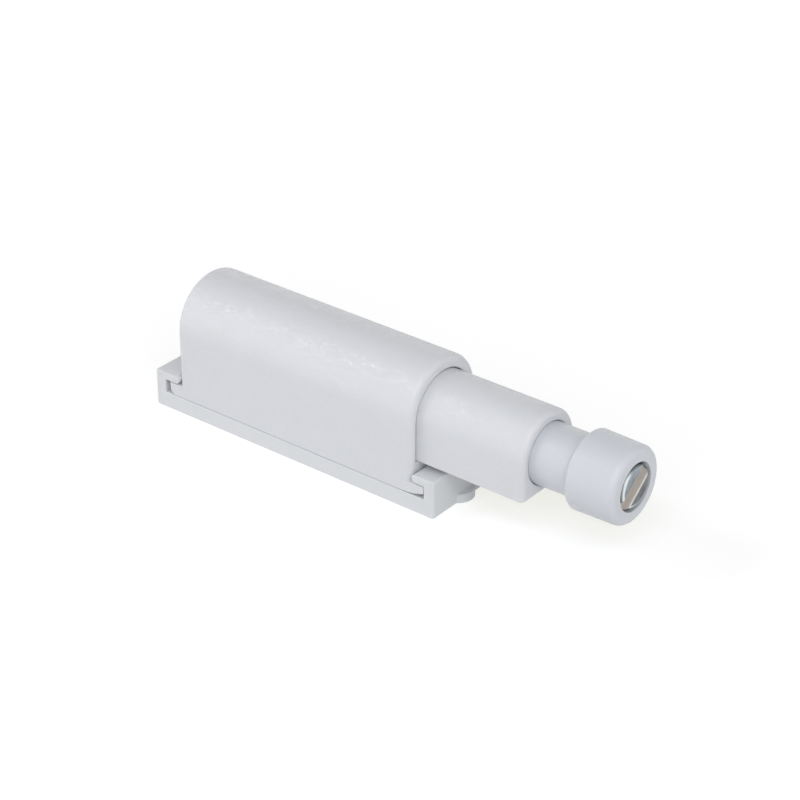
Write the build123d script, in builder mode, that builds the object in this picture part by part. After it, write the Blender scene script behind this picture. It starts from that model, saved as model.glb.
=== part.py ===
"""Two-stage touch latch on a hook-on mounting plate, with both stages out.

Millimetres. The plunger comes out along +X and +Z points away from the panel. The origin is on the
panel, midway between the plate's two screw holes.
"""

import os
from math import asin, degrees, sqrt

from build123d import *

# Plunger, whose rod sets the widths of everything around it
rod_radius = 4.8
rod_show = 6.8  # rod seen between the sleeve and the cap
rod_left = 0.4  # rod still seen when pushed in
head_length = 15.6
head_shoulder = 0.1
head_clearance = 0.1
tail_wall = 0.8
tail_gap = 0.6  # left behind the tail when pushed in
bore_clearance = 0.16
nose_recess_clearance = 0.4
nose_recess_spare = 0.25
nose_chamfer = 0.4

# Cap
cap_rear_radius = 6.17
cap_front_radius = 6.01
cap_rear_rounding = 0.5
cap_front_rounding = 1.1
cap_rim_flat = 0.3  # least of the rim's face left flat by its rounding
cap_socket_depth = 3.4
cap_web = 1.2
socket_clearance = 0.05
recess_clearance = 0.25

# Pole screw, magnet and retaining ring
pole_radius = 3.55
pole_thickness = 1.7
pole_proud = 0.1
pole_rounding = 0.9
pole_slot_width = 2.15
pole_slot_depth = 1.0
pole_slot_angle = 39.0
magnet_inset = 0.1  # magnet's edge inside the disc's
magnet_thickness = 1.8
shank_radius = 1.5
shank_clearance = 0.15
thread_clearance = 0.05
shank_tip_gap = 0.5
clip_radius = 2.8
clip_thickness = 0.5
clip_groove_depth = 0.3
clip_opening = 1.8
clip_play = 0.05

# Sleeve and its end ring
sleeve_wall = 1.25
sleeve_floor = 0.6
sleeve_front_wall = 2.0
sleeve_show = 19.0  # sleeve seen in front of the housing
sleeve_left = 0.3  # sleeve still seen when pushed in
sleeve_engaged = 17.0  # sleeve still inside the housing when out
sleeve_front_rounding = 0.8
sleeve_corner_rounding = 0.25
rod_hole_clearance = 0.08
rod_hole_rounding = 0.3
rod_floor_gap = 0.2  # under the rod, inside the sleeve
arch_rise = 0.4  # centre of the sleeve's round top above the rod's axis
end_ring_thickness = 2.0
end_ring_step = 0.25
end_ring_clearance = 0.05
end_ring_hole_clearance = 0.2
lug_width = 2.4
lug_length = 3.0
lug_inset = 1.4
lug_ramp = 0.9

# Housing
sleeve_clearance = 0.15
side_wall = 1.5
top_wall = 2.05
rear_wall = 1.8
floor_web = 1.5
base_height = 3.1
base_wall = 1.55
rib_thickness = 1.2
rib_count = 3
housing_rounding = 1.0
mouth_rounding = 0.25
seam_rounding = 0.15
lug_slot_clearance = 0.15
foot_end_gap = 0.1
rear_foot_reach = 2.03
rear_foot_rounding = 1.1
ski_rise = 0.75  # how far the front foot's underside curves up to its tip

# Core with the heart-shaped track
core_flange = 1.8
core_clearance = 0.05
core_lap = 3.0  # core still inside the plunger's tail when out
bar_height = 3.2
track_wall = 1.0
track_depth = 1.1
track_clearance = 0.1
track_end_gap = 0.3
track_corner = 0.8
lead_in_length = 2.0
lead_in_spread = 0.5
island_length = 5.4
island_lobe = 0.8
latch_return = 2.0  # how far the plunger comes back before the wire catches

# Follower wire and its leaf
wire_radius = 0.4
wire_bend = 0.7
pivot_inset = 2.0
tip_inset = 1.5
arm_gap = 0.55
tip_gap = 0.15
pivot_height = 0.6
pivot_clearance = 0.05
leaf_width = 2.0
leaf_thickness = 0.2
leaf_clearance = 0.1
leaf_seat_length = 3.8
leaf_toe_length = 0.8

# Springs
sleeve_spring_wire = 0.8
sleeve_spring_coils = 6.5
sleeve_spring_spare = 1.2  # room left when the coils are nearly closed
plunger_spring_wire = 0.5
plunger_spring_coils = 8.0
plunger_spring_room = 0.25  # between the spring and the sleeve round it
spring_clearance = 0.15

# Mounting plate
plate_thickness = 2.7
seat_gap = 0.1
rear_setback = 5.0
front_setback = 4.3
hook_height = 6.2
rear_hook_wall = 2.0
front_hook_wall = 1.8
hook_lip = 1.3
rear_lip_reach = 2.86
front_lip_reach = 2.3
lip_gap = 0.11
channel_stop = 1.5
stop_gap = 0.1
plate_rounding = 0.35
nib_reach = 1.1
nib_radius = 2.6
nib_height = 1.45
screw_spacing = 32.0
screw_hole_radius = 2.1
screw_head_radius = 4.0
countersink_angle = 90.0

# Widths, built outwards from the rod
head_half = rod_radius + head_shoulder
sleeve_inner_half = head_half + head_clearance
sleeve_half = sleeve_inner_half + sleeve_wall
cavity_half = sleeve_half + sleeve_clearance
housing_half = cavity_half + side_wall
plate_width = 2 * housing_half

# Heights above the panel
housing_bottom = plate_thickness + seat_gap
web_bottom = housing_bottom + base_height
cavity_floor = web_bottom + floor_web
sleeve_bottom = cavity_floor + sleeve_clearance
sleeve_inner_bottom = sleeve_bottom + sleeve_floor
head_bottom = sleeve_inner_bottom + head_clearance
rod_axis = sleeve_inner_bottom + rod_floor_gap + rod_radius
arch_axis = rod_axis + arch_rise
housing_arch_axis = arch_axis + cavity_half + top_wall - housing_half
lip_bottom = hook_height - hook_lip
foot_top = lip_bottom - lip_gap

# Radii inside the sleeve, from the plunger's spring in to the core's bar and its track
plunger_spring_radius = sleeve_inner_half - plunger_spring_room - plunger_spring_wire / 2
tail_radius = plunger_spring_radius - plunger_spring_wire / 2 - spring_clearance
bore_radius = tail_radius - tail_wall
bar_half = sqrt((bore_radius - bore_clearance) ** 2 - (bar_height / 2) ** 2)
track_half = bar_half - track_wall
tip_swing = track_half - wire_radius - track_clearance
island_half_width = tip_swing - wire_radius - track_clearance

# Radii of the end ring and of the spring behind it
end_ring_half = sleeve_inner_half + end_ring_step - end_ring_clearance
sleeve_spring_radius = end_ring_half - end_ring_clearance - sleeve_spring_wire / 2

# Radii in the cap and round the screw
magnet_radius = pole_radius - magnet_inset
recess_radius = pole_radius + recess_clearance
socket_radius = rod_radius + socket_clearance
shank_hole_radius = shank_radius + shank_clearance
groove_radius = shank_radius - clip_groove_depth
nose_recess_radius = clip_radius + nose_recess_clearance
nose_recess_depth = clip_thickness + clip_play + nose_recess_spare

# Lengths of housing and plate
sleeve_travel = sleeve_show - sleeve_left
plunger_travel = rod_show - rod_left
closed_spring = sleeve_spring_coils * sleeve_spring_wire + sleeve_spring_spare
housing_length = rear_wall + core_flange + closed_spring + sleeve_travel + sleeve_engaged
plate_length = rear_setback + housing_length + front_setback
plate_rear = -plate_length / 2
plate_front = plate_length / 2
housing_rear = plate_rear + rear_setback
housing_front = plate_front - front_setback

# Places along X, from the housing's rear wall to the cap's face
flange_rear = housing_rear + rear_wall
flange_front = flange_rear + core_flange
sleeve_rear = housing_front - sleeve_engaged
sleeve_front = housing_front + sleeve_show
end_ring_front = sleeve_rear + end_ring_thickness
head_front = sleeve_front - sleeve_front_wall
head_rear = head_front - head_length
tail_end = end_ring_front + plunger_travel + tail_gap
core_tip = tail_end + core_lap
bore_end = core_tip + sleeve_travel + plunger_travel + shank_tip_gap
shank_tip = bore_end + shank_tip_gap
cap_rear = sleeve_front + rod_show
nose_end = cap_rear + cap_socket_depth
recess_floor = nose_end + cap_web
pole_rear = recess_floor + magnet_thickness
pole_front = pole_rear + pole_thickness
cap_front = pole_front - pole_proud
clip_front = nose_end - clip_play
clip_rear = clip_front - clip_thickness

# The follower's arm and the track that it runs in
pivot_x = head_rear + pivot_inset
tip_x = tail_end + tip_inset
arm_length = pivot_x - tip_x
swing_half_angle = degrees(asin(tip_swing / arm_length))
bar_top = rod_axis + bar_height / 2
track_floor = bar_top - track_depth
arm_axis = bar_top + arm_gap + wire_radius
innermost_tip = tip_x - sleeve_travel - plunger_travel
track_end = innermost_tip - wire_radius - track_end_gap
notch_x = innermost_tip + latch_return + wire_radius

# The leaf that holds the arm down, and the slot over it in the plunger's tail and head
leaf_knee = pivot_x - leaf_width / 2
leaf_front = leaf_knee + leaf_seat_length
leaf_slot_end = leaf_front + leaf_clearance
leaf_slot_top = rod_axis + tail_radius + pivot_clearance
leaf_end = tip_x + wire_bend
leaf_toe = leaf_end + leaf_toe_length
leaf_toe_top = arm_axis + wire_radius + pivot_clearance + leaf_thickness

rod_line = Axis((0, 0, rod_axis), (1, 0, 0))
rod_plane = Plane(origin=(0, 0, rod_axis), x_dir=(1, 0, 0), z_dir=(0, -1, 0))


def across(x):
    """The plane square to the rod at x, with local x along Y and local y along Z."""
    return Plane(origin=(x, 0, 0), x_dir=(0, 1, 0), z_dir=(1, 0, 0))


def lengthways(y):
    """The upright plane along the rod at y, with local x along X, facing -Y."""
    return Plane(origin=(0, y, 0), x_dir=(1, 0, 0), z_dir=(0, -1, 0))


def arch_outline(half_width, bottom, arch_centre):
    """Flat floor and sides under a half-round top, in the open sketch."""
    with BuildLine() as outline:
        arch = CenterArc((0, arch_centre), half_width, 0, 180)
        Polyline(arch @ 1, (-half_width, bottom), (half_width, bottom), arch @ 0)
    make_face(outline.line)


def ring_section(start, end, inner, outer):
    """Half section of a ring about the rod's axis, in the open sketch."""
    with BuildLine() as outline:
        Polyline((start, inner), (end, inner), (end, outer), (start, outer), close=True)
    make_face(outline.line)


def coil_spring(start, end, coil_radius, wire, coils):
    """A compression spring on the rod's axis, its ends ground flat on the two seats."""
    with BuildPart() as coil:
        with BuildLine() as centre_line:
            Helix((end - start) / coils, end - start, coil_radius, (start, 0, rod_axis), (1, 0, 0))
        with BuildSketch(Plane(centre_line.line @ 0, z_dir=centre_line.line % 0)):
            Circle(wire / 2)
        sweep(is_frenet=True)
        split(bisect_by=across(start), keep=Keep.TOP)
        split(bisect_by=across(end), keep=Keep.BOTTOM)
    return coil


# Mounting plate: a flat base, with a round-lipped hook at each end
lip_radius = hook_lip / 2
rear_channel = plate_rear + rear_hook_wall
front_channel = plate_front - front_hook_wall
with BuildPart() as mounting_plate:
    with BuildSketch(lengthways(housing_half)):
        with BuildLine():
            rear_lip = CenterArc(
                (rear_channel + rear_lip_reach - lip_radius, lip_bottom + lip_radius), lip_radius, -90, 180
            )
            front_lip = CenterArc(
                (front_channel - front_lip_reach + lip_radius, lip_bottom + lip_radius), lip_radius, 90, 180
            )
            Polyline(
                rear_lip @ 1, (plate_rear, hook_height), (plate_rear, 0), (plate_front, 0),
                (plate_front, hook_height), front_lip @ 0,
            )
            Polyline(
                front_lip @ 1, (front_channel, lip_bottom), (front_channel, plate_thickness),
                (rear_channel, plate_thickness), (rear_channel, lip_bottom), rear_lip @ 0,
            )
        make_face()
    extrude(amount=plate_width)
    for end in (0, -1):
        fillet(mounting_plate.faces().sort_by(Axis.X)[end].edges().sort_by(Axis.Z)[1:], plate_rounding)
    # The channels under the lips are closed at the far side, which stops the housing's feet
    with BuildSketch(lengthways(housing_half)):
        for near_wall, far_wall in (
            (rear_channel, rear_channel + rear_lip_reach - lip_radius),
            (front_channel - front_lip_reach + lip_radius, front_channel),
        ):
            with BuildLine():
                Polyline(
                    (near_wall, plate_thickness), (far_wall, plate_thickness),
                    (far_wall, lip_bottom), (near_wall, lip_bottom), close=True,
                )
            make_face()
    extrude(amount=channel_stop)
    # Half-round nib on the front end, for lining the plate up with the cabinet's edge
    with BuildSketch(Plane.XY):
        with Locations((plate_front + nib_reach - nib_radius, 0)):
            Circle(nib_radius)
    extrude(amount=nib_height)
    for side in (0, -1):
        fillet(mounting_plate.faces().sort_by(Axis.Y)[side].edges(), seam_rounding)
    with Locations(Plane.XY.offset(plate_thickness)):
        with GridLocations(screw_spacing, 1, 2, 1):
            CounterSinkHole(screw_hole_radius, screw_head_radius, counter_sink_angle=countersink_angle)
mounting_plate.part.label = "mounting_plate"

# Housing: a D-shaped shell on a ribbed base, with a foot at each end
foot_far_side = housing_half - channel_stop - stop_gap
foot_width = foot_far_side + housing_half
front_foot_tip = front_channel - foot_end_gap
rear_foot_tip = housing_rear - rear_foot_reach
ski_start = housing_front - base_wall
pocket_length = (housing_length - 2 * base_wall - rib_count * rib_thickness) / (rib_count + 1)
lug_rear = sleeve_rear + lug_inset
lug_front = lug_rear + lug_length
lug_slot_rear = lug_rear - sleeve_travel - sleeve_left
with BuildPart() as housing:
    with BuildSketch(across(housing_rear)):
        arch_outline(housing_half, housing_bottom, housing_arch_axis)
    extrude(amount=housing_length)
    for end in (0, -1):
        fillet(housing.faces().sort_by(Axis.X)[end].edges().sort_by(Axis.Z)[1:], housing_rounding)
    with BuildSketch(across(flange_rear)):
        arch_outline(cavity_half, cavity_floor, arch_axis)
    extrude(amount=housing_front - flange_rear, mode=Mode.SUBTRACT)
    mouth_face = housing.faces().sort_by(Axis.X)[-1]
    fillet(mouth_face.inner_wires()[0].edges(), mouth_rounding)
    # Cored-out base with cross ribs, and the slot that the sleeve's lug runs in
    with BuildSketch(Plane.XY.offset(housing_bottom)):
        with Locations(((housing_rear + housing_front) / 2, 0)):
            with GridLocations(pocket_length + rib_thickness, 1, rib_count + 1, 1):
                Rectangle(pocket_length, 2 * (housing_half - base_wall))
    extrude(amount=base_height, mode=Mode.SUBTRACT)
    with BuildSketch(Plane.XY.offset(web_bottom)):
        with Locations(((lug_slot_rear + lug_front) / 2, 0)):
            Rectangle(lug_front - lug_slot_rear, lug_width + 2 * lug_slot_clearance)
    extrude(amount=floor_web, mode=Mode.SUBTRACT)
    # Front foot, its underside curved up like a ski's tip, and rear foot with a round heel
    with BuildSketch(lengthways(foot_far_side)):
        with BuildLine():
            ski = TangentArc(
                (ski_start, housing_bottom), (front_foot_tip, housing_bottom + ski_rise), tangent=(1, 0)
            )
            Polyline(ski @ 1, (front_foot_tip, foot_top), (ski_start, foot_top), ski @ 0)
        make_face()
        with BuildLine():
            heel_centre = (rear_foot_tip + rear_foot_rounding, housing_bottom + rear_foot_rounding)
            heel = CenterArc(heel_centre, rear_foot_rounding, 180, 90)
            Polyline(
                heel @ 1, (housing_rear + base_wall, housing_bottom), (housing_rear + base_wall, foot_top),
                (rear_foot_tip, foot_top), heel @ 0,
            )
        make_face()
    extrude(amount=foot_width)
    with BuildSketch(lengthways(housing_half)):
        with BuildLine():
            clear = TangentArc(
                (ski_start, housing_bottom), (front_foot_tip, housing_bottom + ski_rise), tangent=(1, 0)
            )
            Polyline(clear @ 1, (front_foot_tip, housing_bottom), clear @ 0)
        make_face()
    extrude(amount=plate_width, mode=Mode.SUBTRACT)
    # The lower edges of both sides are eased, along the seam with the plate and round the feet
    for side in (0, -1):
        side_face = housing.faces().filter_by(Axis.Y).sort_by(Axis.Y)[side]
        lower_edges = side_face.edges().filter_by_position(Axis.Z, housing_bottom, foot_top, (True, False))
        fillet(lower_edges, seam_rounding)
housing.part.label = "housing"

# Core: a flange against the housing's rear wall, and a bar with the heart-shaped track on top
with BuildPart() as cam_core:
    with BuildSketch(across(flange_rear)):
        arch_outline(cavity_half - core_clearance, cavity_floor + core_clearance, arch_axis)
    extrude(amount=core_flange)
    with BuildSketch(across(flange_front)):
        with Locations((0, rod_axis)):
            Rectangle(2 * bar_half, bar_height)
    extrude(amount=core_tip - flange_front)
    with BuildSketch(Plane.XY.offset(track_floor)):
        with BuildLine():
            Polyline(
                (track_end, -track_half), (core_tip - lead_in_length, -track_half),
                (core_tip, -track_half - lead_in_spread), (core_tip, track_half + lead_in_spread),
                (core_tip - lead_in_length, track_half), (track_end, track_half), close=True,
            )
        track_area = make_face()
        fillet(track_area.vertices().group_by(Axis.X)[0], track_corner)
        # The heart: pointed at the front, two lobes and a notch at the rear
        with BuildLine():
            Polyline(
                (notch_x + island_length, 0), (notch_x + island_length / 2, island_half_width),
                (notch_x, island_half_width), (notch_x - island_lobe, island_half_width / 2), (notch_x, 0),
                (notch_x - island_lobe, -island_half_width / 2), (notch_x, -island_half_width),
                (notch_x + island_length / 2, -island_half_width), close=True,
            )
        make_face(mode=Mode.SUBTRACT)
    extrude(amount=track_depth, mode=Mode.SUBTRACT)
cam_core.part.label = "cam_core"

# Sleeve: the first stage, with the rod's hole in front and a lug below that keeps it in the housing
lug_bottom = cavity_floor - floor_web + sleeve_clearance
with BuildPart() as sleeve:
    with BuildSketch(across(sleeve_rear)):
        arch_outline(sleeve_half, sleeve_bottom, arch_axis)
    extrude(amount=sleeve_front - sleeve_rear)
    fillet(sleeve.faces().sort_by(Axis.X)[-1].edges().sort_by(Axis.Z)[1:], sleeve_front_rounding)
    fillet(sleeve.faces().sort_by(Axis.Z)[0].edges().sort_by(Axis.X)[1:], sleeve_corner_rounding)
    with BuildSketch(across(sleeve_rear)):
        arch_outline(sleeve_inner_half, sleeve_inner_bottom, arch_axis)
    extrude(amount=head_front - sleeve_rear, mode=Mode.SUBTRACT)
    with BuildSketch(across(sleeve_rear)):
        arch_outline(sleeve_inner_half + end_ring_step, sleeve_inner_bottom - end_ring_step, arch_axis)
    extrude(amount=end_ring_thickness, mode=Mode.SUBTRACT)
    with BuildSketch(across(head_front)):
        with Locations((0, rod_axis)):
            Circle(rod_radius + rod_hole_clearance)
    extrude(amount=sleeve_front_wall, mode=Mode.SUBTRACT)
    fillet(sleeve.faces().sort_by(Axis.X)[-1].inner_wires()[0].edges(), rod_hole_rounding)
    with BuildSketch(lengthways(lug_width / 2)):
        with BuildLine():
            Polyline(
                (lug_front, sleeve_bottom), (lug_front, lug_bottom), (lug_rear + lug_ramp, lug_bottom),
                (lug_rear, lug_bottom + lug_ramp), (lug_rear, sleeve_bottom), close=True,
            )
        make_face()
    extrude(amount=lug_width)
sleeve.part.label = "sleeve"

# End ring, snapped into the sleeve's rear end as the seat of both springs
with BuildPart() as sleeve_end_ring:
    with BuildSketch(across(sleeve_rear)):
        arch_outline(end_ring_half, sleeve_inner_bottom - end_ring_step + end_ring_clearance, arch_axis)
        with Locations((0, rod_axis)):
            Circle(bore_radius + end_ring_hole_clearance, mode=Mode.SUBTRACT)
    extrude(amount=end_ring_thickness)
sleeve_end_ring.part.label = "sleeve_end_ring"

# Plunger: a hollow tail, a D-shaped head that stops on the sleeve's front wall, and the round rod
with BuildPart() as plunger:
    with BuildSketch(across(head_rear)):
        arch_outline(head_half, head_bottom, arch_axis)
    extrude(amount=head_length)
    with BuildSketch(across(tail_end)):
        with Locations((0, rod_axis)):
            Circle(tail_radius)
    extrude(amount=head_rear - tail_end)
    with BuildSketch(across(head_front)):
        with Locations((0, rod_axis)):
            Circle(rod_radius)
    extrude(amount=nose_end - head_front)
    chamfer(plunger.faces().sort_by(Axis.X)[-1].edges(), nose_chamfer)
    with BuildSketch(rod_plane):
        ring_section(tail_end, bore_end, 0, bore_radius)
        ring_section(bore_end, nose_end, 0, shank_radius + thread_clearance)
        ring_section(nose_end - nose_recess_depth, nose_end, 0, nose_recess_radius)
    revolve(axis=rod_line, mode=Mode.SUBTRACT)
    # Slot for the leaf over the follower, and the blind hole that its pivot turns in
    with BuildSketch(Plane.XY.offset(rod_axis)):
        with Locations(((tail_end + leaf_slot_end) / 2, 0)):
            Rectangle(leaf_slot_end - tail_end, leaf_width + 2 * leaf_clearance)
    extrude(amount=leaf_slot_top - rod_axis, mode=Mode.SUBTRACT)
    with BuildSketch(Plane.XY.offset(leaf_slot_top)):
        with Locations((pivot_x, 0)):
            Circle(wire_radius + pivot_clearance)
    extrude(amount=pivot_height + pivot_clearance, mode=Mode.SUBTRACT)
plunger.part.label = "plunger"

# Follower wire: pivot leg up into the head, arm over the core, tip leg down in the track
wire_plane = lengthways(0).shift_origin((pivot_x, 0, 0)).rotated((0, 0, swing_half_angle))
with BuildPart() as follower_wire:
    with BuildLine(wire_plane) as wire_line:
        FilletPolyline(
            (0, leaf_slot_top + pivot_height), (0, arm_axis), (-arm_length, arm_axis),
            (-arm_length, track_floor + tip_gap), radius=wire_bend,
        )
    with BuildSketch(Plane.XY.offset(leaf_slot_top + pivot_height)):
        with Locations((pivot_x, 0)):
            Circle(wire_radius)
    sweep(path=wire_line.wires()[0])
follower_wire.part.label = "follower_wire"

# Leaf: a thin strip under the slot's roof, bent down to the arm, with a hole for the pivot leg
with BuildPart() as follower_leaf:
    with BuildSketch(lengthways(leaf_width / 2)):
        with BuildLine():
            Polyline(
                (leaf_front, leaf_slot_top), (leaf_knee, leaf_slot_top), (leaf_toe, leaf_toe_top),
                (leaf_end, leaf_toe_top), (leaf_end, leaf_toe_top - leaf_thickness),
                (leaf_toe, leaf_toe_top - leaf_thickness), (leaf_knee, leaf_slot_top - leaf_thickness),
                (leaf_front, leaf_slot_top - leaf_thickness), close=True,
            )
        make_face()
    extrude(amount=leaf_width)
    with BuildSketch(Plane.XY.offset(leaf_slot_top)):
        with Locations((pivot_x, 0)):
            Circle(wire_radius + leaf_clearance)
    extrude(amount=-leaf_thickness, mode=Mode.SUBTRACT)
follower_leaf.part.label = "follower_leaf"

# Springs, one behind each stage
sleeve_spring = coil_spring(
    flange_front, sleeve_rear, sleeve_spring_radius, sleeve_spring_wire, sleeve_spring_coils
)
sleeve_spring.part.label = "sleeve_spring"
plunger_spring = coil_spring(
    end_ring_front, head_rear, plunger_spring_radius, plunger_spring_wire, plunger_spring_coils
)
plunger_spring.part.label = "plunger_spring"

# Cap: a turned or moulded cup over the rod's nose, with a deep recess in its face
front_rounding = min(cap_front_rounding, cap_front_radius - recess_radius - cap_rim_flat)
with BuildPart() as cap:
    with BuildSketch(rod_plane) as cap_section:
        with BuildLine():
            Polyline(
                (cap_rear, socket_radius), (cap_rear, cap_rear_radius), (cap_front, cap_front_radius),
                (cap_front, recess_radius), (recess_floor, recess_radius), (recess_floor, shank_hole_radius),
                (nose_end, shank_hole_radius), (nose_end, socket_radius), close=True,
            )
        make_face()
        fillet(cap_section.vertices().group_by(Axis.X)[0].sort_by(Axis.Y)[-1], cap_rear_rounding)
        fillet(cap_section.vertices().group_by(Axis.X)[-1].sort_by(Axis.Y)[-1], front_rounding)
    revolve(axis=rod_line)
cap.part.label = "cap"

# Ring magnet, on the floor of the cap's recess
with BuildPart() as magnet:
    with BuildSketch(rod_plane):
        ring_section(recess_floor, pole_rear, shank_hole_radius, magnet_radius)
    revolve(axis=rod_line)
magnet.part.label = "magnet"

# Pole screw: a slotted steel disc over the magnet, in one piece with its threaded shank
with BuildPart() as pole_screw:
    with BuildSketch(rod_plane):
        ring_section(shank_tip, pole_rear, 0, shank_radius)
        ring_section(pole_rear, pole_front, 0, pole_radius)
        with BuildLine():
            Polyline(
                (clip_rear, groove_radius), (clip_front, groove_radius), (clip_front, shank_radius),
                (clip_rear, shank_radius), close=True,
            )
        make_face(mode=Mode.SUBTRACT)
    revolve(axis=rod_line)
    fillet(pole_screw.faces().sort_by(Axis.X)[-1].edges(), pole_rounding)
    with BuildSketch(across(pole_front)):
        with Locations((0, rod_axis)):
            Rectangle(2 * recess_radius, pole_slot_width, rotation=pole_slot_angle)
    extrude(amount=-pole_slot_depth, mode=Mode.SUBTRACT)
pole_screw.part.label = "pole_screw"

# Retaining ring, open on one side, in the shank's groove behind the cap's web
with BuildPart() as screw_clip:
    with BuildSketch(across(clip_rear)):
        with Locations((0, rod_axis)):
            Circle(clip_radius)
            Circle(groove_radius, mode=Mode.SUBTRACT)
        with Locations((0, rod_axis - clip_radius / 2)):
            Rectangle(clip_opening, clip_radius, mode=Mode.SUBTRACT)
    extrude(amount=clip_thickness)
screw_clip.part.label = "screw_clip"

os.makedirs("parts", exist_ok=True)
for piece in (
    mounting_plate, housing, cam_core, sleeve_spring, sleeve, sleeve_end_ring, plunger_spring, plunger,
    follower_leaf, follower_wire, cap, magnet, pole_screw, screw_clip,
):
    export_step(piece.part, f"parts/{piece.part.label}.step")
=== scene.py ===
"""Looks of the two-stage touch latch: pale grey plastic mouldings, a nickel-plated screw and springs.

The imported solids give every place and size. Metres throughout, in the same frame: the panel is z = 0
and the plunger comes out along +X.
"""

import math

import bpy
import bmesh
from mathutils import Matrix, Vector


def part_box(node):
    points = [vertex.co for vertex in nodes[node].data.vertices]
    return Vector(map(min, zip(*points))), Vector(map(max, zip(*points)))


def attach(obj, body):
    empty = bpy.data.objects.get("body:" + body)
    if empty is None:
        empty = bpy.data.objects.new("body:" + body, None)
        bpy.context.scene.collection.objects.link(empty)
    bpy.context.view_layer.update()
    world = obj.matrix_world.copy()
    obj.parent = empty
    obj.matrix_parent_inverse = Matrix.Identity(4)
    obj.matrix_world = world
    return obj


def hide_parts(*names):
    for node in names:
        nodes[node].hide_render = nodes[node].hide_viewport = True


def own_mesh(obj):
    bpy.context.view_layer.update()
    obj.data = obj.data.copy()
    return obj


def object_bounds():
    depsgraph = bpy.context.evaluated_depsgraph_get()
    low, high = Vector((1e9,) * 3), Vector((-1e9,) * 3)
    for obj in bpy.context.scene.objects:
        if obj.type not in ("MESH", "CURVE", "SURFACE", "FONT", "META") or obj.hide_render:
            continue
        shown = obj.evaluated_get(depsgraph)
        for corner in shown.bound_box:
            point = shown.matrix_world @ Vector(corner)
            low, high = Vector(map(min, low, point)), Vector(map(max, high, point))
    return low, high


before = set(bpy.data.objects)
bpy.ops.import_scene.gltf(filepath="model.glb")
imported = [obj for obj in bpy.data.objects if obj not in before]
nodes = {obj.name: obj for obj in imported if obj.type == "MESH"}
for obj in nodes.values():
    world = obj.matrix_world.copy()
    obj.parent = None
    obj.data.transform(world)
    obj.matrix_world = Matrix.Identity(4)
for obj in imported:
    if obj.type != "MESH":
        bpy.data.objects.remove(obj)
cad_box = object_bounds()
mm = 0.001


# Housing: one ABS moulding from a spark-eroded tool, whose fine grain breaks the sheen along the
# rounded shoulder into glints. It is dressed first, so what all materials share stands here.
def linear(code):
    """An sRGB hex colour as a linear RGBA value."""
    channels = [int(code[i : i + 2], 16) / 255 for i in (1, 3, 5)]
    curve = [c / 12.92 if c <= 0.04045 else ((c + 0.055) / 1.055) ** 2.4 for c in channels]
    return (*curve, 1.0)


def add_node(tree, kind, settings, inputs):
    """A new node with its settings, and each input's value or the socket that is linked to it.
    Inputs that share a name go by number: a colour mix has its two colours at 6 and 7."""
    node = tree.nodes.new(kind)
    for name, value in settings.items():
        setattr(node, name, value)
    for key, value in inputs.items():
        if isinstance(value, bpy.types.NodeSocket):
            tree.links.new(value, node.inputs[key])
        else:
            node.inputs[key].default_value = value
    return node


def new_material(name):
    """A node material with nothing in it yet, and its tree."""
    material = bpy.data.materials.new(name)
    material.use_nodes = True
    material.node_tree.nodes.clear()
    return material, material.node_tree


def dress(piece, *materials):
    """Gives a piece its materials, in the order of its faces' material numbers."""
    piece.data.materials.clear()
    for material in materials:
        piece.data.materials.append(material)


cloud_size = 9 * mm
facet_tilt = 0.16
facet_tint = 0.02
sheen_spread = 0.04
light_depth = 0.5 * mm


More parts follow.
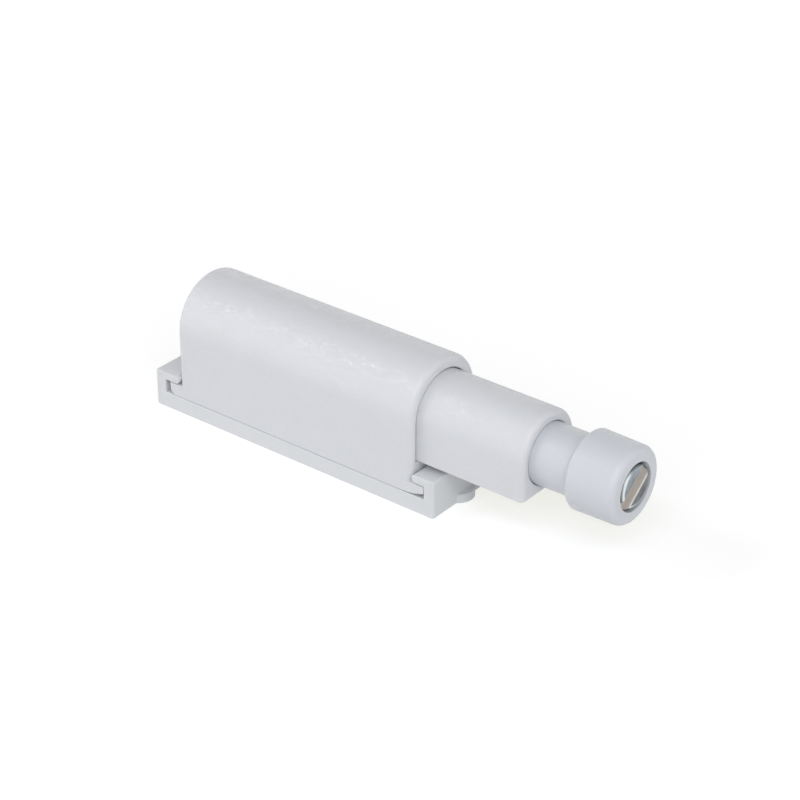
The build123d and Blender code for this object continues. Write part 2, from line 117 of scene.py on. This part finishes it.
def moulded_plastic(name, colour, cloud_colour, grain, depth, roughness, glints):
    """Pale moulded plastic: rounded craters of one grain size, faint clouding where the melt flowed,
    and a thin glossy skin of small tilted facets, which glint where they mirror a lamp. The facets'
    size and tilt are drawn coarser than the real skin's, which is too fine to show."""
    material, tree = new_material(name)
    place = add_node(tree, "ShaderNodeTexCoord", {}, {}).outputs["Object"]
    clouds = add_node(tree, "ShaderNodeTexNoise", {}, {
        "Vector": place, "Scale": 1 / cloud_size, "Detail": 3.0, "Roughness": 0.55,
    })
    craters = add_node(tree, "ShaderNodeTexVoronoi", {"feature": "SMOOTH_F1"}, {
        "Vector": place, "Scale": 1 / grain, "Smoothness": 0.6,
    })
    ripple = add_node(tree, "ShaderNodeTexNoise", {}, {
        "Vector": place, "Scale": 1 / (2.5 * grain), "Detail": 4.0, "Roughness": 0.65,
    })
    height = add_node(tree, "ShaderNodeMath", {"operation": "MULTIPLY_ADD"}, {
        0: ripple.outputs["Fac"], 1: 0.6, 2: craters.outputs["Distance"],
    })
    bump = add_node(tree, "ShaderNodeBump", {}, {
        "Height": height.outputs[0], "Strength": 1.0, "Distance": depth,
    })
    sheen = add_node(tree, "ShaderNodeMapRange", {}, {
        "Value": clouds.outputs["Fac"],
        "To Min": roughness - sheen_spread, "To Max": roughness + sheen_spread,
    })
    facets = add_node(tree, "ShaderNodeTexVoronoi", {}, {
        "Vector": place, "Scale": 1 / (1.1 * grain),
    })
    smooth = add_node(tree, "ShaderNodeNewGeometry", {}, {}).outputs["Normal"]
    tilt = add_node(tree, "ShaderNodeVectorMath", {"operation": "MULTIPLY_ADD"}, {
        0: facets.outputs["Color"], 1: (2 * facet_tilt,) * 3, 2: (-facet_tilt,) * 3,
    })
    tilted = add_node(tree, "ShaderNodeVectorMath", {"operation": "ADD"}, {
        0: smooth, 1: tilt.outputs[0],
    })
    skin = add_node(tree, "ShaderNodeVectorMath", {"operation": "NORMALIZE"}, {
        0: tilted.outputs[0],
    })
    clouding = add_node(tree, "ShaderNodeMix", {"data_type": "RGBA"}, {
        "Factor": clouds.outputs["Fac"], 6: linear(colour), 7: linear(cloud_colour),
    })
    tint = add_node(tree, "ShaderNodeMix", {"data_type": "RGBA", "blend_type": "MULTIPLY"}, {
        "Factor": facet_tint, 6: clouding.outputs[2], 7: facets.outputs["Color"],
    })
    surface = add_node(tree, "ShaderNodeBsdfPrincipled", {}, {
        "Base Color": tint.outputs[2], "Roughness": sheen.outputs[0], "IOR": 1.54,
        "Specular IOR Level": 0.25, "Normal": bump.outputs[0],
        "Subsurface Weight": 0.12, "Subsurface Radius": (1.0, 1.0, 1.0),
        "Subsurface Scale": light_depth,
        "Coat Weight": glints, "Coat Roughness": 0.12, "Coat Normal": skin.outputs[0],
    })
    add_node(tree, "ShaderNodeOutputMaterial", {}, {"Surface": surface.outputs[0]})
    return material


# Spark-eroded ABS: matt and a little cloudy, with glints in its sheen. The grain of the real tool is
# about 0.05 mm and is drawn 0.3 mm wide, so that it shows.
eroded_abs = moulded_plastic(
    "spark_eroded_abs", "#D9DADF", "#D4D6DA",
    grain=0.30 * mm, depth=0.008 * mm, roughness=0.55, glints=0.34,
)
dress(nodes["housing"], eroded_abs)

# Mounting plate: moulded from the same grey ABS and screwed to the panel. Its tool is polished, so
# the material is smoother and a little glossier than the housing's, with hardly a glint.
plate_abs = moulded_plastic(
    "smooth_plate_abs", "#DADBDF", "#D5D8DA",
    grain=0.22 * mm, depth=0.004 * mm, roughness=0.45, glints=0.1,
)
dress(nodes["mounting_plate"], plate_abs)

# Sleeve: the first stage, moulded in the housing's ABS with the same grain. It slides in the housing,
# and a spring on the cam core pushes it out.
dress(nodes["sleeve"], eroded_abs)

# Plunger and cap: moulded acetal, harder and a little bluer than the shells, with a finer grain,
# because the rod slides in the sleeve. The cap sits on the rod's nose, and the screw sets its reach.
plunger_acetal = moulded_plastic(
    "moulded_acetal", "#D2D4DB", "#CCD0D5",
    grain=0.28 * mm, depth=0.006 * mm, roughness=0.46, glints=0.32,
)
dress(nodes["plunger"], plunger_acetal)
dress(nodes["cap"], plunger_acetal)

# Cam core and end ring: natural grey acetal as it leaves the tool, darker and glossier than the
# shells. The core is held in the housing's rear, the ring snaps into the sleeve's. Both stay hidden.
core_acetal = moulded_plastic(
    "natural_acetal", "#C4C6C9", "#BCBFC3",
    grain=0.22 * mm, depth=0.004 * mm, roughness=0.38, glints=0.1,
)
dress(nodes["cam_core"], core_acetal)
dress(nodes["sleeve_end_ring"], core_acetal)


# Pole screw: turned from steel in one piece, slotted, threaded and nickel plated. It holds the cap on
# the rod and is the pole of the magnet behind it.
screw_low, screw_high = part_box("pole_screw")
clip_low, clip_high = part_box("screw_clip")
magnet_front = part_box("magnet")[1].x
rod_axis = (screw_low.z + screw_high.z) / 2
disc_radius = (screw_high.z - screw_low.z) / 2
shank_radius = 1.5 * mm
groove_radius = 1.2 * mm
point_radius = 0.8 * mm
point_length = 0.3 * mm
thread_pitch = 0.5 * mm
thread_depth = 0.3 * mm
thread_end = clip_low.x - 0.6 * mm
edge_rounding = 0.9 * mm
slot_width = 2.15 * mm
slot_depth = 1.0 * mm
slot_chamfer = 0.15 * mm
slot_angle = math.radians(39)
patch_size = 1.2 * mm
gloss_spread = 0.06
# Where the disc's painted highlight and painted shade lie: rim radii, the gap's dark ring, and the
# side that the highlight favours.
painted_rim_from, painted_rim_to = disc_radius - 0.85 * mm, disc_radius - 0.6 * mm
painted_gap_shade_from, painted_gap_shade_to = disc_radius - 0.5 * mm, disc_radius - 0.2 * mm
painted_highlight_side = (0.0, -0.7, -0.7)
painted_highlight_from, painted_highlight_to = -1.6 * mm, 1.4 * mm


def plated_steel(
    name, colour, dark_colour, line_size, line_depth, roughness, turned,
    metallic=1.0, painted_rim_colour=None, painted_dark_side=0.0,
):
    """Nickel-plated steel with fine tool marks: rings about the axis where turned, straight where
    milled. A painted shade turns the plating darker towards one side. A rim colour is a painted
    highlight along the face's rounded edge, brightest on one side, inside a dark line of painted shade
    by the gap."""
    material, tree = new_material(name)
    place = add_node(tree, "ShaderNodeTexCoord", {}, {}).outputs["Object"]
    centred = add_node(tree, "ShaderNodeMapping", {}, {
        "Vector": place, "Location": (0.0, 0.0, -rod_axis),
    })
    marks = add_node(
        tree,
        "ShaderNodeTexWave",
        {
            "wave_type": "RINGS" if turned else "BANDS",
            "rings_direction": "X", "bands_direction": "DIAGONAL",
        },
        {"Vector": centred.outputs[0], "Scale": 0.5 / line_size, "Distortion": 1.5, "Detail": 3.0},
    )
    patches = add_node(tree, "ShaderNodeTexNoise", {}, {
        "Vector": place, "Scale": 1 / patch_size, "Detail": 4.0, "Roughness": 0.6,
    })
    bump = add_node(tree, "ShaderNodeBump", {}, {
        "Height": marks.outputs["Fac"], "Strength": 1.0, "Distance": line_depth,
    })
    # Painted shade: the plating darkens towards +Y and -Z, added to its random patches.
    painted_side_shade = add_node(tree, "ShaderNodeVectorMath", {"operation": "DOT_PRODUCT"}, {
        0: centred.outputs[0], 1: (0.0, painted_dark_side / disc_radius, -painted_dark_side / disc_radius),
    })
    tone_and_painted_shade = add_node(tree, "ShaderNodeMath", {"operation": "ADD"}, {
        0: patches.outputs["Fac"], 1: painted_side_shade.outputs["Value"],
    })
    tint = add_node(tree, "ShaderNodeMix", {"data_type": "RGBA"}, {
        "Factor": tone_and_painted_shade.outputs[0], 6: linear(colour), 7: linear(dark_colour),
    })
    gloss = add_node(tree, "ShaderNodeMapRange", {}, {
        "Value": patches.outputs["Fac"],
        "To Min": roughness - gloss_spread, "To Max": roughness + gloss_spread,
    })
    base = tint.outputs[2]
    if painted_rim_colour:
        # Painted highlight: a bright crescent on the face's rounded edge, brightest towards -Y and -Z.
        flat = add_node(tree, "ShaderNodeVectorMath", {"operation": "MULTIPLY"}, {
            0: centred.outputs[0], 1: (0.0, 1.0, 1.0),
        })
        radius = add_node(tree, "ShaderNodeVectorMath", {"operation": "LENGTH"}, {
            0: flat.outputs[0],
        }).outputs["Value"]
        on_painted_rim = add_node(tree, "ShaderNodeMapRange", {}, {
            "Value": radius, "From Min": painted_rim_from, "From Max": painted_rim_to,
        })
        side = add_node(tree, "ShaderNodeVectorMath", {"operation": "DOT_PRODUCT"}, {
            0: centred.outputs[0], 1: painted_highlight_side,
        })
        painted_highlight_mask = add_node(tree, "ShaderNodeMapRange", {}, {
            "Value": side.outputs["Value"], "From Min": painted_highlight_from, "From Max": painted_highlight_to,
        })
        painted_highlight_share = add_node(tree, "ShaderNodeMath", {"operation": "MULTIPLY"}, {
            0: on_painted_rim.outputs[0], 1: painted_highlight_mask.outputs[0],
        })
        with_painted_highlight = add_node(tree, "ShaderNodeMix", {"data_type": "RGBA"}, {
            "Factor": painted_highlight_share.outputs[0], 6: tint.outputs[2], 7: linear(painted_rim_colour),
        })
        # Painted shade: a dark ring at the face's outer edge, by the gap round the disc.
        painted_gap_shade = add_node(tree, "ShaderNodeMapRange", {}, {
            "Value": radius, "From Min": painted_gap_shade_from, "From Max": painted_gap_shade_to,
        })
        base = add_node(tree, "ShaderNodeMix", {"data_type": "RGBA"}, {
            "Factor": painted_gap_shade.outputs[0], 6: with_painted_highlight.outputs[2], 7: linear(dark_colour),
        }).outputs[2]
    surface = add_node(tree, "ShaderNodeBsdfPrincipled", {}, {
        "Base Color": base, "Metallic": metallic, "Roughness": gloss.outputs[0],
        "Normal": bump.outputs[0],
    })
    add_node(tree, "ShaderNodeOutputMaterial", {}, {"Surface": surface.outputs[0]})
    return material


def link_mesh(name, mesh_data):
    """A new object in the scene from finished mesh data."""
    piece = bpy.data.objects.new(name, mesh_data)
    bpy.context.scene.collection.objects.link(piece)
    return piece


def finish_mesh(name, shape):
    """Mesh data from a closed shape, with its faces turned outwards."""
    bmesh.ops.recalc_face_normals(shape, faces=shape.faces)
    data = bpy.data.meshes.new(name)
    shape.to_mesh(data)
    shape.free()
    return data


def skin_rows(name, shape, rows):
    """Closes rows of points into a skin, from an end face on the first row to one on the last."""
    for rear, front in zip(rows, rows[1:]):
        for k in range(len(rear)):
            nxt = (k + 1) % len(rear)
            shape.faces.new((rear[k], rear[nxt], front[nxt], front[k]))
    shape.faces.new(rows[0][::-1])
    shape.faces.new(rows[-1])
    return finish_mesh(name, shape)


def thread_radius(x, radius, angle):
    """The shank's radius, cut to a 60-degree thread up to where it runs out."""
    if radius < shank_radius or x >= thread_end:
        return radius
    turn = ((x - screw_low.x) / thread_pitch - angle / (2 * math.pi)) % 1.0
    lead = min(1.0, (thread_end - x) / thread_pitch)
    return radius - thread_depth * lead * abs(2 * turn - 1)


steps_per_pitch = 10
rounding_steps = 12
around_screw = 96
thread_rows = round((thread_end - screw_low.x) / thread_pitch * steps_per_pitch)
screw_rings = [(screw_low.x, point_radius), (screw_low.x, shank_radius - thread_depth)]
thread_start = screw_low.x + point_length
screw_rings += [
    (thread_start + (thread_end - thread_start) * i / thread_rows, shank_radius)
    for i in range(thread_rows + 1)
]
screw_rings += [
    (clip_low.x, shank_radius), (clip_low.x, groove_radius), (clip_high.x, groove_radius),
    (clip_high.x, shank_radius), (magnet_front, shank_radius), (magnet_front, disc_radius),
]
for i in range(rounding_steps + 1):
    turn = math.pi / 2 * i / rounding_steps
    screw_rings.append((
        screw_high.x - edge_rounding + edge_rounding * math.sin(turn),
        disc_radius - edge_rounding + edge_rounding * math.cos(turn),
    ))
screw_rings += [(screw_high.x, disc_radius * share) for share in (0.6, 0.3, 0.05)]
screw_shape = bmesh.new()
screw_rows = []
for x, radius in screw_rings:
    row = []
    for k in range(around_screw):
        angle = 2 * math.pi * k / around_screw
        r = thread_radius(x, radius, angle)
        row.append(screw_shape.verts.new((x, r * math.cos(angle), rod_axis + r * math.sin(angle))))
    screw_rows.append(row)
pole = link_mesh("pole_screw_detailed", skin_rows("pole_screw", screw_shape, screw_rows))

# Nickel on the turned face: a cool mirror with fine rings, a bright crescent of painted highlight
# along its rounded edge, a side darkened by painted shade and a dark ring of painted shade by the gap.
# The rings of the real face are about 0.05 mm apart, drawn 0.12 mm.
plating = plated_steel(
    "turned_nickel_plating", "#99A3AB", "#4C4C49", line_size=0.12 * mm, line_depth=0.002 * mm,
    roughness=0.22, turned=True, painted_rim_colour="#D6DEE0", painted_dark_side=0.28,
)
# Nickel on the slot's milled floor: thin, warm and nearly matt, so it is only partly metallic.
milled = plated_steel(
    "milled_nickel_plating", "#D0C9C5", "#AFABA3", line_size=0.10 * mm, line_depth=0.004 * mm,
    roughness=0.5, turned=False, metallic=0.3,
)
# Nickel on the slot's chamfers, coloured near white as a painted highlight: a light line along the
# slot.
painted_edge_highlight = plated_steel(
    "slot_edge_painted_highlight", "#E6E6E4", "#D6D4D0", line_size=0.2 * mm, line_depth=0.001 * mm,
    roughness=0.3, turned=True,
)
dress(pole, plating, milled, painted_edge_highlight)

cutter_shape = bmesh.new()
profile = [
    (-slot_depth, slot_width / 2), (-slot_chamfer, slot_width / 2),
    (0, slot_width / 2 + slot_chamfer), (slot_depth, slot_width / 2 + slot_chamfer),
]
profile += [(x, -z) for x, z in reversed(profile)]
chamfer_sides = (1, 5)
ends = [
    [cutter_shape.verts.new((x, y, z)) for x, z in profile]
    for y in (-2 * disc_radius, 2 * disc_radius)
]
for k in range(len(profile)):
    nxt = (k + 1) % len(profile)
    side = cutter_shape.faces.new((ends[0][k], ends[0][nxt], ends[1][nxt], ends[1][k]))
    side.material_index = 1 if k in chamfer_sides else 0
for end in ends:
    cutter_shape.faces.new(end)
cutter = link_mesh("slot_cutter", finish_mesh("slot_cutter", cutter_shape))
cutter.location = (screw_high.x, 0, rod_axis)
cutter.rotation_euler = (slot_angle, 0, 0)
dress(cutter, milled, painted_edge_highlight)
slot_cut = pole.modifiers.new("slot", "BOOLEAN")
slot_cut.object = cutter
slot_cut.solver = "EXACT"
slot_cut.material_mode = "TRANSFER"
bpy.context.view_layer.update()
slotted = pole.evaluated_get(bpy.context.evaluated_depsgraph_get())
slotted_mesh = bpy.data.meshes.new_from_object(slotted)
pole.modifiers.clear()
pole.data = slotted_mesh
bpy.data.objects.remove(cutter)
pole.data.shade_smooth()
pole.data.set_sharp_from_angle(angle=math.radians(30))
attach(pole, "screw")
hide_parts("pole_screw")

# Magnet: a pressed ring behind the disc, barrel plated with nickel, which leaves it evenly bright.
# The screw's shank passes through it.
nickel = plated_steel(
    "nickel_plating", "#A9A9A7", "#9B9A97", line_size=0.2 * mm, line_depth=0.001 * mm, roughness=0.25,
    turned=True,
)
dress(nodes["magnet"], nickel)


# Follower wire, its leaf and the screw's retaining ring: hard-drawn or rolled spring steel, bent and
# stamped, bright, with fine lines along it. The real lines are under 0.02 mm and are drawn 0.08 mm.
streak_size = 0.08 * mm
streak_depth = 0.002 * mm
streak_stretch = 0.1


def spring_steel(name, colour, dark_colour, roughness):
    """Drawn or rolled spring steel: bright grey with fine streaks along X."""
    material, tree = new_material(name)
    place = add_node(tree, "ShaderNodeTexCoord", {}, {}).outputs["Object"]
    stretched = add_node(tree, "ShaderNodeMapping", {}, {
        "Vector": place, "Scale": (streak_stretch, 1.0, 1.0),
    })
    streaks = add_node(tree, "ShaderNodeTexNoise", {}, {
        "Vector": stretched.outputs[0], "Scale": 1 / streak_size, "Detail": 3.0, "Roughness": 0.6,
    })
    bump = add_node(tree, "ShaderNodeBump", {}, {
        "Height": streaks.outputs["Fac"], "Strength": 1.0, "Distance": streak_depth,
    })
    tint = add_node(tree, "ShaderNodeMix", {"data_type": "RGBA"}, {
        "Factor": streaks.outputs["Fac"], 6: linear(colour), 7: linear(dark_colour),
    })
    surface = add_node(tree, "ShaderNodeBsdfPrincipled", {}, {
        "Base Color": tint.outputs[2], "Metallic": 1.0, "Roughness": roughness,
        "Normal": bump.outputs[0],
    })
    add_node(tree, "ShaderNodeOutputMaterial", {}, {"Surface": surface.outputs[0]})
    return material


drawn_steel = spring_steel("drawn_spring_steel", "#A6A6A8", "#8C8C8E", roughness=0.3)
for name in ("follower_wire", "follower_leaf", "screw_clip"):
    dress(nodes[name], drawn_steel)


# Springs: wound from round spring wire with a closed coil at each end, ground flat on its seat. Each
# is held between its body and the stage that it pushes.
closed_coils = 1.0
ground_away = 0.12
rows_per_coil = 48
around_wire = 14


def wound_spring(name, node, wire, coils):
    """A compression spring in the place of its plain solid, from the rear seat to the front one."""
    low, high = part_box(node)
    coil_radius = (high.y - low.y) / 2 - wire / 2
    open_coils = coils - 2 * closed_coils
    open_pitch = (high.x - low.x - wire - 2 * closed_coils * wire) / open_coils
    shape = bmesh.new()
    rows = []
    for i in range(round(coils * rows_per_coil) + 1):
        turns = i / rows_per_coil
        opened = min(max(turns - closed_coils, 0.0), open_coils)
        x = low.x + wire / 2 + opened * open_pitch + (turns - opened) * wire
        angle = 2 * math.pi * turns
        row = []
        for k in range(around_wire):
            spin = 2 * math.pi * k / around_wire
            r = coil_radius + wire / 2 * math.cos(spin)
            along = x + wire / 2 * math.sin(spin)
            along = min(max(along, low.x + ground_away * wire), high.x - ground_away * wire)
            row.append(shape.verts.new((along, r * math.cos(angle), rod_axis + r * math.sin(angle))))
        rows.append(row)
    data = skin_rows(name, shape, rows)
    data.shade_smooth()
    data.set_sharp_from_angle(angle=math.radians(40))
    spring = link_mesh(name, data)
    dress(spring, drawn_steel)
    return spring, low.x, high.x


def add_spring(name, node, wire, coils, body):
    """Seats a wound spring on its body and hides its plain solid."""
    spring, rear, front = wound_spring(name, node, wire, coils)
    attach(spring, body)
    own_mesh(spring)
    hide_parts(node)


add_spring(
    "sleeve_spring_wound", "sleeve_spring", wire=0.8 * mm, coils=6.5, body="housing",
)
add_spring(
    "plunger_spring_wound", "plunger_spring", wire=0.5 * mm, coils=8.0, body="sleeve",
)

# Studio floor: white paper just under the plate. The camera and shiny surfaces see it glow, dimmer
# near the latch as a painted shade round it that deepens its shadow, and its faint blue paint under a
# warm glow gives the shadow its warm tint.
floor_size = 1.5
floor_gap = 0.02 * mm
glow_near, glow_far = 70 * mm, 130 * mm
painted_shade_glow, glow_away = 0.68, 1.0
floor_shape = bmesh.new()
bmesh.ops.create_grid(floor_shape, x_segments=1, y_segments=1, size=floor_size)
floor_data = bpy.data.meshes.new("floor")
floor_shape.to_mesh(floor_data)
floor_shape.free()
floor = link_mesh("floor", floor_data)
floor.location.z = -floor_gap


def seen_by_eye(tree):
    """1 for what the camera sees, straight on, mirrored or through glass, and 0 for the light."""
    path = add_node(tree, "ShaderNodeLightPath", {}, {})
    seen = add_node(tree, "ShaderNodeMath", {"operation": "MAXIMUM"}, {
        0: path.outputs["Is Camera Ray"], 1: path.outputs["Is Glossy Ray"],
    })
    return add_node(tree, "ShaderNodeMath", {"operation": "MAXIMUM"}, {
        0: seen.outputs[0], 1: path.outputs["Is Transmission Ray"],
    }).outputs[0]


paper, tree = new_material("white_paper")
lit = add_node(tree, "ShaderNodeBsdfDiffuse", {}, {"Color": (0.78, 0.78, 0.77, 1.0)})
faint = add_node(tree, "ShaderNodeBsdfDiffuse", {}, {"Color": (0.44, 0.44, 0.60, 1.0)})
place = add_node(tree, "ShaderNodeTexCoord", {}, {}).outputs["Object"]
away = add_node(tree, "ShaderNodeVectorMath", {"operation": "LENGTH"}, {0: place})
# Painted shade: the glow is dimmer near the latch and whiter away from it.
glow_with_painted_shade = add_node(tree, "ShaderNodeMapRange", {}, {
    "Value": away.outputs["Value"], "From Min": glow_near, "From Max": glow_far,
    "To Min": painted_shade_glow, "To Max": glow_away,
})
glow = add_node(tree, "ShaderNodeEmission", {}, {
    "Color": (1.0, 1.0, 0.84, 1.0), "Strength": glow_with_painted_shade.outputs[0],
})
shown = add_node(tree, "ShaderNodeAddShader", {}, {0: faint.outputs[0], 1: glow.outputs[0]})
mixed = add_node(tree, "ShaderNodeMixShader", {}, {
    0: seen_by_eye(tree), 1: lit.outputs[0], 2: shown.outputs[0],
})
add_node(tree, "ShaderNodeOutputMaterial", {}, {"Surface": mixed.outputs[0]})
dress(floor, paper)

# Studio surround: white to the camera and in reflections, and a dim even light from all round. Four
# soft lamps shape the latch as in the photograph, and a weak one behind lights its back.
world = bpy.data.worlds.new("pale_surround")
bpy.context.scene.world = world
world.use_nodes = True
tree = world.node_tree
tree.nodes.clear()
surround = add_node(tree, "ShaderNodeMix", {"data_type": "RGBA"}, {
    "Factor": seen_by_eye(tree), 6: (0.24, 0.242, 0.244, 1.0), 7: (1.0, 1.0, 1.0, 1.0),
})
sky = add_node(tree, "ShaderNodeBackground", {}, {"Color": surround.outputs[2], "Strength": 1.0})
add_node(tree, "ShaderNodeOutputWorld", {}, {"Surface": sky.outputs[0]})


def direction_of(turn, rise):
    """The direction from the latch at an azimuth and an elevation."""
    return Vector((math.sin(turn) * math.cos(rise), -math.cos(turn) * math.cos(rise), math.sin(rise)))


def soft_lamp(name, azimuth, elevation, distance, size, power):
    """A square area lamp aimed at the middle of the latch. Azimuth 0 is at -Y, and 90 at +X."""
    lamp = bpy.data.lights.new(name, "AREA")
    lamp.size = size
    lamp.energy = power
    holder = bpy.data.objects.new(name, lamp)
    bpy.context.scene.collection.objects.link(holder)
    turn, rise = math.radians(azimuth), math.radians(elevation)
    out = direction_of(turn, rise)
    holder.location = (cad_box[0] + cad_box[1]) / 2 + out * distance
    holder.rotation_euler = out.to_track_quat("Z", "Y").to_euler()


soft_lamp("key_softbox", azimuth=-50, elevation=44, distance=0.7, size=0.14, power=0.6)
soft_lamp("left_softbox", azimuth=-56, elevation=6, distance=0.6, size=0.5, power=1.6)
soft_lamp("camera_softbox", azimuth=38, elevation=40, distance=0.9, size=0.75, power=4.8)
soft_lamp("right_softbox", azimuth=85, elevation=15, distance=0.9, size=0.75, power=2.2)
soft_lamp("rear_softbox", azimuth=205, elevation=4, distance=0.8, size=0.6, power=0.75)

# Camera: the photograph's viewing angle, distance and lens, worked out from the latch's own edges.
# It is aimed at a point in the latch and then shifted a little to frame it as in the photograph.
azimuth, elevation = math.radians(38.599), math.radians(29.744)
distance = 373.192 * mm
sideways, upwards = -1.890 * mm, 4.355 * mm
back = direction_of(azimuth, elevation)
right = Vector((math.cos(azimuth), math.sin(azimuth), 0))
aim = Vector((17.5, 0, 8)) * mm
camera = bpy.data.objects.new("camera", bpy.data.cameras.new("camera"))
bpy.context.scene.collection.objects.link(camera)
camera.location = aim + back * distance + right * sideways + back.cross(right) * upwards
camera.rotation_mode = "QUATERNION"
camera.rotation_quaternion = back.to_track_quat("Z", "Y")
camera.data.sensor_width = 36
camera.data.lens = 113.085
camera.data.clip_start = 0.01
bpy.context.scene.camera = camera
bpy.context.scene.view_settings.view_transform = "Standard"
